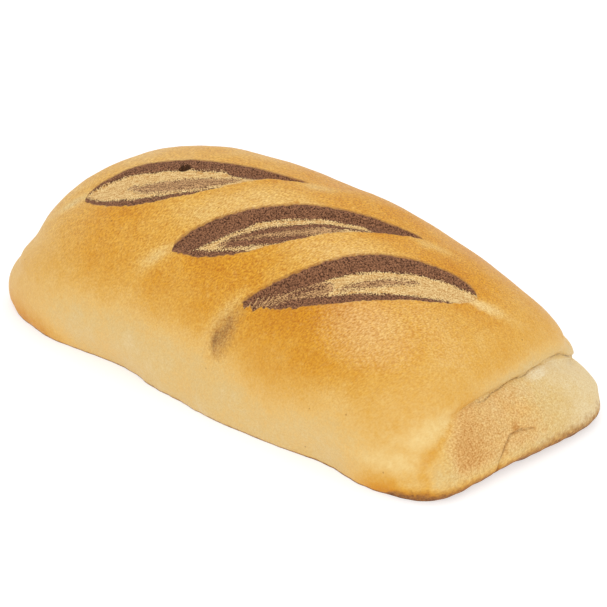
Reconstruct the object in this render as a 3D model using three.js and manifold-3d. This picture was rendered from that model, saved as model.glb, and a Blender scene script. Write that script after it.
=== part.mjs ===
// A marble rye loaf, baked free-standing: one solid piece of bread with three slanting slashes across its
// crown, a crust lip over a pale tongue at the near end, and a softer foot at the far end.
// Millimetres, +Z up, origin at the middle of the flat base, +X towards the near end.
import * as THREE from 'three';
import { mergeVertices } from 'three/addons/utils/BufferGeometryUtils.js';
import Module from 'manifold-3d';

// Overall size
const LENGTH = 290;
const WIDTH = 137;
const HEIGHT = 85.5;

// Sides: the widest level, how full the arch above it is, and how far below it the sides would close
const BELLY_LEVEL = 12.5;
const SIDE_FULLNESS = 1.82;
const SIDE_TUCK = 60;

// Squareness of the plan outline at the base, in each corner, and at the crown
const PLAN_NEAR_LEFT = 6.5;
const PLAN_NEAR_RIGHT = 6.8;
const PLAN_FAR = 4.1;
const PLAN_CROWN = 2.65;
const PLAN_CROWN_LEVEL = 75;

// Near end: a crust lip that curls under, over a tongue of paler crust
const LIP_REACH = 127.8;
const LIP_LEVEL = 32.5;
const LIP_FULLNESS = 1.78;
const LIP_SKEW = 0.04;
const LIP_CURL = 1.8;
const LIP_CURL_HEIGHT = 4;
const TONGUE = { reach: LENGTH / 2, level: 6.5, up: 52, down: 26, fullness: 1.95 };
const FOOT_HALF_WIDTH = 67;
const TONGUE_PLAN_LEFT = 8;
const TONGUE_PLAN_RIGHT = 5.8;
const TONGUE_PLAN_RIGHT_TOP = 3.2;
// The tongue ends at a valley beside the left corner and dies away round the right corner, in plan degrees
const VALLEY_ANGLE_BASE = -30;
const VALLEY_ANGLE_LIP = -13;
const VALLEY_SOFTNESS = 9;
const RIGHT_EDGE_ANGLE = 45;
const RIGHT_EDGE_SOFTNESS = 20;
const FOOT_SINK = 0.03;
// The roll of side crust that wraps round the left corner
const ROLL_SWELL = 0.045;
const ROLL_OFFSET = 3;
const ROLL_SPREAD = 8;
const ROLL_TOP = 46;

// Far end: a lip and a foot that run softly into each other
const FAR_LIP_REACH = 136.5;
const FAR_LIP_LEVEL = 26;
const FAR_LIP_FULLNESS = 2.1;
const FAR_LIP_CURL = 4;
const FAR_FOOT = { reach: LENGTH / 2, level: 6, up: 42, down: 30, fullness: 2.2 };
const FAR_FOOT_PLAN = 4.9;
const FAR_FOOT_ANGLE = 125;
const FAR_FOOT_SOFTNESS = 25;
// Radius of the join between dome and foot: under the lip, round the near corners, and at the far end
const LIP_BLEND = 1.2;
const CORNER_BLEND = 9;
const CORNER_ANGLE = 12;
const CORNER_SOFTNESS = 9;
const FAR_BLEND = 16;
const FAR_BLEND_START = 0.4;
const FAR_BLEND_RUN = 0.5;
// The join dies away along the sides, where the direction is this close to square with the length
const JOIN_END = 0.35;

// Slashes: plan points of the two tips, and the bow of each edge away from the line between them. A bow is
// widest at its peak, a share of its run from start to end, and a thin sliver goes on to both tips.
const SLASHES = [
  {
    tail: [-98.8, -34.2],
    head: [4.6, 7.2],
    near: { bow: 11.8, peak: 0.46, end: 0.85, sliver: 6.2 },
    far: { bow: 12.4, peak: 0.28, sliver: 0.5 },
  },
  {
    tail: [-25.5, -47.8],
    head: [65.1, 16.2],
    near: { bow: 16.3, peak: 0.45 },
    far: { bow: 2.4, peak: 0.17, sliver: 3.8 },
  },
  {
    tail: [24.2, -54.4],
    head: [101.3, 11.2],
    near: { bow: 19.8, peak: 0.57, taper: 0.75 },
    far: { bow: 7.6, peak: 0.75, start: 0.25, sliver: 0.4 },
  },
];
const SLASH_DEPTH = 3;
const SLASH_DEEPEST = 0.65;
const SLASH_MARGIN = 3;
const SLASH_TIP_WIDTH = 1;
const SLASH_OVERRUN = 0.04;
const CUTTER_LIFT = 3;
const CUTTER_HEIGHT = 25;
const CUTTER_STEPS_ALONG = 34;
const CUTTER_STEPS_ACROSS = 9;

// The crust sinks along each slash and on down the side beyond its tail, and puffs up between
const PUFF_HEIGHT = 0.8;
const VALLEY_DEPTH = 2.4;
const VALLEY_WIDTH = 18;
const VALLEY_TAIL = 0.55;
const VALLEY_HEAD = 0.25;
// The right shoulder hangs a little slack towards the near end
const SLACK_DEPTH = 2.2;
const SLACK_START = 40;
const SLACK_RUN = 50;
const SLACK_WIDTH = 40;

// The right corner of the near end stands out above the crease, is pinched along it, and stands out below
const CORNER_FOLDS = [
  { at: 3.2, spread: 3, rise: 2.2 },
  { at: -3, spread: 2.4, rise: -3.8 },
  { at: -9.5, spread: 4.5, rise: 2.4 },
];
const CORNER_FOLD_ANGLE = 26;
const CORNER_FOLD_SPREAD = 10;

// The base line is uneven: each wave swells or draws in a side, or the near end, round one place along it
const FRONT_WAVES = [
  { at: -108, spread: 16, rise: -0.6 },
  { at: -72, spread: 14, rise: -1.6 },
  { at: -46, spread: 24, rise: -5.4 },
  { at: 20, spread: 18, rise: 1.6 },
  { at: 86, spread: 20, rise: -4.6 },
  { at: 130, spread: 14, rise: 2 },
];
const BACK_WAVES = [
  { at: -70, spread: 26, rise: -3 },
  { at: 5, spread: 22, rise: 1.5 },
  { at: 72, spread: 24, rise: -3.2 },
];
const END_WAVES = [
  { at: -50, spread: 11, rise: 1.9 },
  { at: -10, spread: 12, rise: -1.2 },
];
const WAVE_HEIGHT = 22;
const WAVE_DEPTH = 30;
const END_WAVE_HEIGHT = 10;

// A folded crack that climbs the tongue from its base, leaning to the right
const CRACK_FOOT = -23;
const CRACK_TOP = -11;
const CRACK_HEIGHT = 16;
const CRACK_WIDTH = 4;
const CRACK_DEPTH = 2;
const CRACK_LIFT = 0.8;
const CRACK_STEPS = 6;

// The core line that the crust swells away from
const CORE_REACH = 75;
const CORE_LEVEL = 25;

// Facets: steps along, across and up the loaf, with one ring of edges along the crease under the lip
const STEPS_LONG = 44;
const STEPS_WIDE = 22;
const STEPS_HIGH = 12;
const CREASE_LOWEST = 22;
const SHOULDER_LEVEL = 50;
const BISECTIONS = 32;
const LEAST_SHARE = 1e-9;
const LEAST_REACH = 1e-3;
const WELD_DISTANCE = 1e-4;

const CRUST_COLOUR = 0xe3a63f;
const CRUST_ROUGHNESS = 0.5;

const { clamp, radToDeg, lerp } = THREE.MathUtils;

// A ramp from 0 to 1 that starts and ends level.
function ease(t) {
  return THREE.MathUtils.smoothstep(t, 0, 1);
}

// A hump that is 1 in its middle and falls away on both sides.
function hump(distance) {
  return Math.exp(-distance * distance);
}

// Height at a place on a row of humps.
function humps(row, place) {
  return row.reduce((sum, { at, spread, rise }) => sum + rise * hump((place - at) / spread), 0);
}

// Share of full reach at a level, on an oval with its own height above and below its widest level.
function oval(level, widest, up, down, fullness) {
  const height = level > widest ? up : down;
  return Math.max(LEAST_SHARE, 1 - (Math.abs(level - widest) / height) ** fullness) ** (1 / fullness);
}

// Distance from the middle to a rounded rectangle, along a direction of the plan.
function planRadius(angle, halfLength, halfWidth, squareness) {
  const along = Math.abs(Math.cos(angle)) / Math.max(halfLength, LEAST_REACH);
  const across = Math.abs(Math.sin(angle)) / Math.max(halfWidth, LEAST_REACH);
  return (along ** squareness + across ** squareness) ** (-1 / squareness);
}

// Angle of the valley at the tongue's left edge, which leans as it climbs.
function valleyAngle(level) {
  return lerp(VALLEY_ANGLE_BASE, VALLEY_ANGLE_LIP, Math.min(1, level / LIP_LEVEL));
}

// How far the tongue shows round the near end: 1 over the end face, 0 along the sides.
function tongueShown(degrees, level) {
  const left = ease((degrees - valleyAngle(level)) / VALLEY_SOFTNESS + 0.5);
  return left * ease((RIGHT_EDGE_ANGLE - degrees) / RIGHT_EDGE_SOFTNESS + 0.5);
}

function sideReach(level) {
  return (WIDTH / 2) * oval(level, BELLY_LEVEL, HEIGHT - BELLY_LEVEL, SIDE_TUCK, SIDE_FULLNESS);
}

// The risen dome of the loaf, with its lip at each end.
function domeRadius(angle, level) {
  const near = Math.cos(angle) > 0;
  const degrees = radToDeg(angle);
  const nearSquareness = Math.sin(angle) < 0 ? PLAN_NEAR_LEFT : PLAN_NEAR_RIGHT;
  const squareness = lerp(near ? nearSquareness : PLAN_FAR, PLAN_CROWN, ease(level / PLAN_CROWN_LEVEL));
  const lipLevel = near ? LIP_LEVEL : FAR_LIP_LEVEL;
  const lip = near ? LIP_REACH * (1 - LIP_SKEW * Math.sin(angle)) : FAR_LIP_REACH;
  const fullness = near ? LIP_FULLNESS : FAR_LIP_FULLNESS;
  const curl = near ? LIP_CURL * tongueShown(degrees, level) : FAR_LIP_CURL;
  const rise = lip * oval(Math.max(level, lipLevel), lipLevel, HEIGHT - lipLevel, 1, fullness);
  const reach = rise - curl * ease((lipLevel - level) / LIP_CURL_HEIGHT);
  const radius = planRadius(angle, reach, sideReach(level), squareness);
  if (!near) return radius;
  const offRoll = (degrees - valleyAngle(level) + ROLL_OFFSET) / ROLL_SPREAD;
  return radius * (1 + ROLL_SWELL * hump(offRoll) * ease((ROLL_TOP - level) / ROLL_TOP));
}

// The tongue at the near end and the foot at the far end, which sink into the dome along the sides.
function footRadius(angle, level) {
  const near = Math.cos(angle) > 0;
  const degrees = radToDeg(angle);
  const foot = near ? TONGUE : FAR_FOOT;
  const rightSquareness = lerp(TONGUE_PLAN_RIGHT, TONGUE_PLAN_RIGHT_TOP, ease(level / LIP_LEVEL));
  const nearSquareness = Math.sin(angle) < 0 ? TONGUE_PLAN_LEFT : rightSquareness;
  const reach = foot.reach * oval(level, foot.level, foot.up, foot.down, foot.fullness);
  const halfWidth = (FOOT_HALF_WIDTH * sideReach(level)) / (WIDTH / 2);
  const farShown = ease((Math.abs(degrees) - FAR_FOOT_ANGLE) / FAR_FOOT_SOFTNESS);
  const shown = near ? tongueShown(degrees, level) : farShown;
  const radius = planRadius(angle, reach, halfWidth, near ? nearSquareness : FAR_FOOT_PLAN);
  return radius * (1 - FOOT_SINK * (1 - shown));
}

// Radius of the join between dome and foot, all round the plan.
function joinRadius(angle) {
  const corner = ease((Math.abs(radToDeg(angle)) - CORNER_ANGLE) / CORNER_SOFTNESS);
  const far = ease((-Math.cos(angle) - FAR_BLEND_START) / FAR_BLEND_RUN);
  return lerp(lerp(LIP_BLEND, CORNER_BLEND, corner), FAR_BLEND, far);
}

// The outer skin: dome and foot together, joined by a sharp crease under the lip and softly elsewhere.
function skinRadius(angle, level) {
  const dome = domeRadius(angle, level);
  const foot = footRadius(angle, level);
  const blend = joinRadius(angle);
  const overlap = Math.max(blend - Math.abs(dome - foot), 0);
  const ends = ease(Math.abs(Math.cos(angle)) / JOIN_END);
  return Math.max(dome, foot) + (ends * overlap * overlap) / (4 * blend);
}

// The level between low and high where a test changes from true to false.
function changeLevel(low, high, test) {
  for (let step = 0; step < BISECTIONS; step += 1) {
    const middle = (low + high) / 2;
    if (test(middle)) low = middle;
    else high = middle;
  }
  return (low + high) / 2;
}

// Height of the crown over a point of the plan.
function crownHeight(x, y) {
  const angle = Math.atan2(y, x);
  const distance = Math.hypot(x, y);
  return changeLevel(SHOULDER_LEVEL, HEIGHT, (level) => skinRadius(angle, level) > distance);
}

// Level of the crease under the lip, which settles at its lowest where there is none.
function creaseLevel(angle) {
  const footShows = (level) => footRadius(angle, level) > domeRadius(angle, level);
  return changeLevel(CREASE_LOWEST, LIP_LEVEL, footShows);
}

function ringPoint(angle, level) {
  const radius = skinRadius(angle, level);
  return new THREE.Vector3(radius * Math.cos(angle), radius * Math.sin(angle), level);
}

// Place of a plan point in a slash's own directions: along it from tail (0) to head (1), and across it in mm.
function alongSlash(slash, x, y) {
  const run = new THREE.Vector2(slash.head[0] - slash.tail[0], slash.head[1] - slash.tail[1]);
  const length = run.length();
  run.divideScalar(length);
  const offset = new THREE.Vector2(x - slash.tail[0], y - slash.tail[1]);
  return { along: offset.dot(run) / length, across: run.cross(offset) };
}

function slashPoint(slash, along, across) {
  const run = new THREE.Vector2(slash.head[0] - slash.tail[0], slash.head[1] - slash.tail[1]);
  const side = new THREE.Vector2(-run.y, run.x).normalize();
  return new THREE.Vector2(...slash.tail).addScaledVector(run, along).addScaledVector(side, across);
}

// An arch that is 0 at both tips of a slash and 1 at its peak.
function arch(along, peak) {
  const t = clamp(along, 0, 1);
  return (t / peak) ** (2 * peak) * ((1 - t) / (1 - peak)) ** (2 - 2 * peak);
}

// How far an edge of a slash bows away from the line between the tips.
function edgeBow({ bow, peak, start = 0, end = 1, sliver = 0, taper = 1 }, along) {
  const share = (along - start) / (end - start);
  return bow * arch(share, peak) ** taper + sliver * Math.sqrt(arch(along, 0.5));
}

// How far the crust stands out: puffed up over the crown, slack on the right shoulder, and sunk along the
// slashes and beyond their tails.
function swell({ x, y, z }) {
  let sunk = 0;
  for (const slash of SLASHES) {
    const { along, across } = alongSlash(slash, x, y);
    const middle = (edgeBow(slash.far, along) - edgeBow(slash.near, along)) / 2;
    const ends = ease((along + VALLEY_TAIL) / VALLEY_TAIL) * ease((1 + VALLEY_HEAD - along) / VALLEY_HEAD);
    sunk += ends * hump((across - middle) / VALLEY_WIDTH);
  }
  const slack = SLACK_DEPTH * ease((x - SLACK_START) / SLACK_RUN) * ease(y / SLACK_WIDTH);
  return (PUFF_HEIGHT - slack) * ease(z / SHOULDER_LEVEL) - VALLEY_DEPTH * sunk * ease(z / CORE_LEVEL);
}

// Moves a point of the plain skin outwards, away from the core line.
function swollen(point, extra = 0) {
  const core = new THREE.Vector3(clamp(point.x, -CORE_REACH, CORE_REACH), 0, CORE_LEVEL);
  const outward = point.clone().sub(core).normalize();
  return point.clone().addScaledVector(outward, swell(point) + extra);
}

// How far the right corner of the near end stands out, at a height above the crease.
function cornerFold(angle, above) {
  return humps(CORNER_FOLDS, above) * hump((radToDeg(angle) - CORNER_FOLD_ANGLE) / CORNER_FOLD_SPREAD);
}

// Moves a point level, to the uneven base line.
function unevenAtBase({ x, y, z }) {
  const front = ease((-y - FOOT_HALF_WIDTH + WAVE_DEPTH) / WAVE_DEPTH) * humps(FRONT_WAVES, x);
  const back = ease((y - FOOT_HALF_WIDTH + WAVE_DEPTH) / WAVE_DEPTH) * humps(BACK_WAVES, x);
  const end = ease((x - CORE_REACH) / WAVE_DEPTH) * humps(END_WAVES, y);
  const wide = (back - front) * (1 - ease(z / WAVE_HEIGHT));
  return new THREE.Vector3(x + end * (1 - ease(z / END_WAVE_HEIGHT)), y + wide, z);
}

// A point of the loaf for a point of a cube that reaches from -1 to 1: the cube's sides become the sides of
// the loaf up to the shoulder, its top the crown and its bottom the flat base.
function loafPoint(cube) {
  const rim = Math.max(Math.abs(cube.x), Math.abs(cube.y));
  const angle = Math.atan2(cube.y * WIDTH, cube.x * LENGTH);
  if (cube.z <= -1) return unevenAtBase(ringPoint(angle, 0).multiplyScalar(rim));
  if (cube.z >= 1) {
    const plan = ringPoint(angle, SHOULDER_LEVEL).multiplyScalar(rim);
    return swollen(new THREE.Vector3(plan.x, plan.y, rim < 1 ? crownHeight(plan.x, plan.y) : SHOULDER_LEVEL));
  }
  const crease = creaseLevel(angle);
  const level = cube.z < 0 ? lerp(0, crease, cube.z + 1) : lerp(crease, SHOULDER_LEVEL, cube.z);
  return unevenAtBase(swollen(ringPoint(angle, level), cornerFold(angle, level - crease)));
}

// A point of a slash's cutter for a point of a unit box: its floor is the open slash, its roof is clear of
// the loaf.
function cutterPoint(slash, box) {
  const along = lerp(-SLASH_OVERRUN, 1 + SLASH_OVERRUN, box.x + 0.5);
  const farEdge = edgeBow(slash.far, along) + SLASH_TIP_WIDTH / 2;
  const nearEdge = -edgeBow(slash.near, along) - SLASH_TIP_WIDTH / 2;
  const step = (box.y + 0.5) * CUTTER_STEPS_ACROSS;
  const share = clamp((step - 1) / (CUTTER_STEPS_ACROSS - 2), 0, 1);
  const outside = Math.max(1 - step, step - CUTTER_STEPS_ACROSS + 1, 0);
  const across = lerp(nearEdge, farEdge, share) + Math.sign(share - 0.5) * outside * SLASH_MARGIN;
  const wall = share < SLASH_DEEPEST ? share / SLASH_DEEPEST : (1 - share) / (1 - SLASH_DEEPEST);
  const depth = SLASH_DEPTH * Math.sin((wall * Math.PI) / 2) * Math.sqrt(arch(along, 0.5));
  const pastTip = along < 0 || along > 1;
  const plan = slashPoint(slash, along, across);
  const skin = new THREE.Vector3(plan.x, plan.y, crownHeight(plan.x, plan.y));
  const floor = swollen(skin, pastTip ? CUTTER_LIFT : outside * CUTTER_LIFT - depth);
  if (box.z > 0) floor.z += CUTTER_HEIGHT;
  return floor;
}

// Moves each vertex of a box geometry by a function, and leaves positions alone in the geometry.
function mapped(geometry, place) {
  geometry.deleteAttribute('normal');
  geometry.deleteAttribute('uv');
  const positions = geometry.getAttribute('position');
  for (let index = 0; index < positions.count; index += 1) {
    const point = place(new THREE.Vector3().fromBufferAttribute(positions, index));
    positions.setXYZ(index, point.x, point.y, point.z);
  }
  return geometry;
}

function loafGeometry() {
  return mapped(new THREE.BoxGeometry(2, 2, 2, STEPS_LONG, STEPS_WIDE, STEPS_HIGH), loafPoint);
}

function slashGeometry(slash) {
  const box = new THREE.BoxGeometry(1, 1, 1, CUTTER_STEPS_ALONG, CUTTER_STEPS_ACROSS, 1);
  return mapped(box, (point) => cutterPoint(slash, point));
}

// A point of the crack's cutter for a point of a unit box: a narrow wedge that follows the tongue's face.
function crackPoint(box) {
  const climb = box.x + 0.5;
  const level = lerp(-1, CRACK_HEIGHT, climb);
  const edge = Math.abs(2 * box.y);
  const y = lerp(CRACK_FOOT, CRACK_TOP, climb) + box.y * CRACK_WIDTH;
  const angle = Math.atan2(y, TONGUE.reach);
  const depth = CRACK_DEPTH * (1 - edge) * (1 - climb) - CRACK_LIFT * Math.max(edge, climb);
  const radius = skinRadius(angle, Math.max(level, 0)) - depth + (box.z > 0 ? CUTTER_LIFT : 0);
  return unevenAtBase(new THREE.Vector3(radius * Math.cos(angle), radius * Math.sin(angle), level));
}

function crackGeometry() {
  return mapped(new THREE.BoxGeometry(1, 1, 1, CRACK_STEPS, 2, 1), crackPoint);
}

const wasm = await Module();
wasm.setup();

function solid(geometry) {
  const merged = mergeVertices(geometry, WELD_DISTANCE);
  return new wasm.Manifold(
    new wasm.Mesh({
      numProp: 3,
      vertProperties: new Float32Array(merged.getAttribute('position').array),
      triVerts: new Uint32Array(merged.index.array),
    }),
  );
}

function geometryOf(manifold) {
  const { vertProperties, triVerts } = manifold.getMesh();
  const geometry = new THREE.BufferGeometry();
  geometry.setAttribute('position', new THREE.BufferAttribute(new Float32Array(vertProperties), 3));
  geometry.setIndex(new THREE.BufferAttribute(new Uint32Array(triVerts), 1));
  geometry.computeVertexNormals();
  return geometry;
}

function makeLoaf() {
  let loaf = solid(loafGeometry());
  for (const slash of SLASHES) loaf = loaf.subtract(solid(slashGeometry(slash)));
  loaf = loaf.subtract(solid(crackGeometry()));
  const crust = new THREE.MeshStandardMaterial({
    color: CRUST_COLOUR, roughness: CRUST_ROUGHNESS, metalness: 0, name: 'baked_crust',
  });
  const mesh = new THREE.Mesh(geometryOf(loaf), crust);
  mesh.name = 'loaf';
  mesh.geometry.computeBoundingBox();
  const middle = mesh.geometry.boundingBox.getCenter(new THREE.Vector3());
  mesh.position.set(-middle.x, -middle.y, 0);
  return mesh;
}

const bread = new THREE.Group();
bread.name = 'marble_rye_bread';
bread.add(makeLoaf());

export default bread;
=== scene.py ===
"""A marble rye loaf as it comes from the oven, dressed for a studio picture.

One piece of bread: a golden crust, three slashes that open on swirled rye crumb, and a near end where a lip
of crust closes over a pale tongue. Sizes are in millimetres and the scene is in metres, in the frame of the
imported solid: +Z up, the origin at the middle of the flat base, +X towards the near end.
"""

import logging
import math
from collections.abc import Callable
from dataclasses import dataclass, field
from enum import Enum
from functools import partial
from typing import Any

import bmesh
import bpy
import numpy as np
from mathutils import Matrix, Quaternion, Vector, noise


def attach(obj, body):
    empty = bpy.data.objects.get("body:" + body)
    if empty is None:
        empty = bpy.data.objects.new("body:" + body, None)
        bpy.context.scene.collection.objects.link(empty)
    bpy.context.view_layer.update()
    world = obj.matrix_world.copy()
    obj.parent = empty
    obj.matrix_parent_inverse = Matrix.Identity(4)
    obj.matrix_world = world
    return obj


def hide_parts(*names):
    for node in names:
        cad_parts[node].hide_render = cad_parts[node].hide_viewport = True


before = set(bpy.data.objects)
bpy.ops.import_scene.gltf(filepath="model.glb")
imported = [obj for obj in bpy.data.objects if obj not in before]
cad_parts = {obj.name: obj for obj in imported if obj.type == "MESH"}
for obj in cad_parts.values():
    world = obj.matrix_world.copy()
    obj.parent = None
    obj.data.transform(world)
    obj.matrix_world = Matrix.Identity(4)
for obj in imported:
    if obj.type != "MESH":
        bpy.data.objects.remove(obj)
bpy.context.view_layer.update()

Array = np.ndarray
Colour = tuple[float, float, float, float]
Piece = bpy.types.Object
Socket = bpy.types.NodeSocket
Adder = Callable[..., Socket]
MM = 0.001
TINY = 1e-9
THIN = 1e-3
HALVINGS = 32
OUTSIDE = -20.0
TIP_FADE = 100.0
PARALLEL = 0.9
WHITE = (1.0, 1.0, 1.0, 1.0)
# Sockets of a Mix node for numbers and for colours, by number because they share their names.
FACTOR, LOW, HIGH = 0, 2, 3
FROM, TO, COLOUR = 6, 7, 2
# The middle part of a noise texture's range, where most of its values lie.
NOISE_SPAN = {"From Min": 0.3, "From Max": 0.7}
CRUMB_SPAN = {"From Min": 0.35, "From Max": 0.65}
LOG = logging.getLogger("loaf")


class Layer(Enum):
    """A layer of the swirled crumb that a slash lays open; HOLE is a pit in it, painted dark as its shade."""

    MIDDLE = "rye_middle"
    DARK = "rye_dark"
    HOLE = "rye_hole"


class Line(Enum):
    """A line of a slash that a streak of crumb follows."""

    NEAR = "near edge"
    FAR = "far edge"
    TIPS = "line between the tips"


class Along(Enum):
    """A direction of the block that the loaf is shaped from."""

    LENGTH = 0
    WIDTH = 1
    HEIGHT = 2


def linear(colour: str) -> Colour:
    """Turn an sRGB hex colour into linear light.

    Args:
        colour: six hex digits after a hash sign.

    Returns:
        Linear red, green and blue, and an alpha of 1.
    """
    shares = [int(colour[at:at + 2], 16) / 255 for at in (1, 3, 5)]
    light = [s / 12.92 if s <= 0.04045 else ((s + 0.055) / 1.055) ** 2.4 for s in shares]
    return (*light, 1.0)


def ease(share: Array) -> Array:
    """Ramp from 0 to 1 that starts and ends level."""
    t = np.clip(share, 0.0, 1.0)
    return t * t * (3 - 2 * t)


def between(low: Array, high: Array, share: Array) -> Array:
    """Value at a share of the way from low to high."""
    return low + (high - low) * share


def bell(distance: Array, spread: Array) -> Array:
    """Hump that is 1 at no distance and falls away over the spread."""
    return np.exp(-((distance / spread) ** 2))


def arch(along: Array, peak: float) -> Array:
    """Arch that is 0 at both tips of a slash and 1 at its peak."""
    t = np.clip(along, 0.0, 1.0)
    return (t / peak) ** (2 * peak) * ((1 - t) / (1 - peak)) ** (2 - 2 * peak)


def lens(along: Array) -> Array:
    """Round arch that is 0 at both tips of a slash and 1 midway."""
    return np.sqrt(arch(along, 0.5))


def bearing(points: Array) -> Array:
    """Direction of each point in the plan in radians, from 0 at the near end."""
    return np.arctan2(points[:, 1], points[:, 0])


def grain(points: Array, size: float, shift: float = 0.0) -> Array:
    """Smooth unevenness from -1 to 1 that is the same on every run.

    Args:
        points: places in mm, one row each.
        size: width of one bump, in mm.
        shift: moves the pattern, so that two of one size differ.

    Returns:
        One value for each place.
    """
    return np.array([noise.noise(Vector(row)) for row in points / size + shift])


def halve(low: float, high: float, count: int, holds: Callable[[Array], Array]) -> Array:
    """Find the level up to which a test holds, by halving.

    Args:
        low: level at which it holds.
        high: level at which it no longer does.
        count: number of places.
        holds: the test, of one level for each place.

    Returns:
        One level for each place.
    """
    bottom, top = np.full(count, low), np.full(count, high)
    for _ in range(HALVINGS):
        middle = (bottom + top) / 2
        under = holds(middle)
        bottom, top = np.where(under, middle, bottom), np.where(under, top, middle)
    return (bottom + top) / 2


@dataclass(frozen=True)
class Ramp:
    """Ramp from 0 at its start to 1 at the end of its run, which goes backwards where it is less than 0."""

    start: float
    run: float

    def at(self, place: Array) -> Array:
        """Height of the ramp at each place."""
        return ease((place - self.start) / self.run)


@dataclass(frozen=True)
class Hump:
    """Hump of some rise at its middle, which falls away over its spread to both sides."""

    middle: float
    spread: float
    rise: float = 1.0

    def at(self, place: Array) -> Array:
        """Height of the hump at each place."""
        return self.rise * bell(place - self.middle, self.spread)


@dataclass(frozen=True)
class Spot:
    """Stain that is strongest at one place and falls away over a length and a width."""

    along: float
    across: float
    length: float
    width: float
    strength: float = 1.0

    def at(self, along: Array, across: Array) -> Array:
        """Strength of the stain at each place."""
        return self.strength * bell(along - self.along, self.length) * bell(across - self.across, self.width)


@dataclass(frozen=True)
class Profile:
    """Reach of one side or end by level: fullest at one level, closing above and below it."""

    reach: float
    widest: float
    up: float
    down: float
    fullness: float

    def at(self, level: Array) -> Array:
        """Reach in mm at each level.

        Args:
            level: levels in mm.

        Returns:
            One reach for each level.
        """
        height = np.where(level > self.widest, self.up, self.down)
        share = np.abs(level - self.widest) / height
        return self.reach * np.maximum(TINY, 1 - share**self.fullness) ** (1 / self.fullness)


@dataclass(frozen=True)
class Bow:
    """How far one edge of a slash bows out of the line between its tips.

    The bow is widest at its peak, runs from start to end, and a thin sliver goes on to both tips.
    """

    width: float
    peak: float
    start: float = 0.0
    end: float = 1.0
    sliver: float = 0.0
    taper: float = 1.0

    def at(self, along: Array) -> Array:
        """Bow in mm at each place along the slash."""
        share = (along - self.start) / (self.end - self.start)
        return self.width * arch(share, self.peak) ** self.taper + self.sliver * lens(along)


@dataclass(frozen=True)
class Streak:
    """A lens of crumb on the floor of a slash.

    Places run from 0 at the tail to 1 at the head. The middle line is a distance in mm from the slash's near
    edge, far edge or tip line: it goes from first to last, and bulges between them.
    """

    layer: Layer
    line: Line
    start: float
    end: float
    thick: float
    first: float = 0.0
    last: float = 0.0
    bulge: float = 0.0
    taper: float = 0.5

    def gap(self, along: Array, distance: Array) -> Array:
        """How far inside the streak each place is.

        Args:
            along: place along the slash.
            distance: distance in mm from the line that the streak follows.

        Returns:
            Distance in mm to the streak's edge, less than 0 outside.
        """
        share = np.clip((along - self.start) / (self.end - self.start), 0, 1)
        hump = 4 * share * (1 - share)
        middle = between(self.first, self.last, share) + self.bulge * hump
        past = np.maximum(np.maximum(self.start - along, along - self.end), 0) * TIP_FADE
        return self.thick / 2 * hump**self.taper - np.abs(distance - middle) - past


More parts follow.
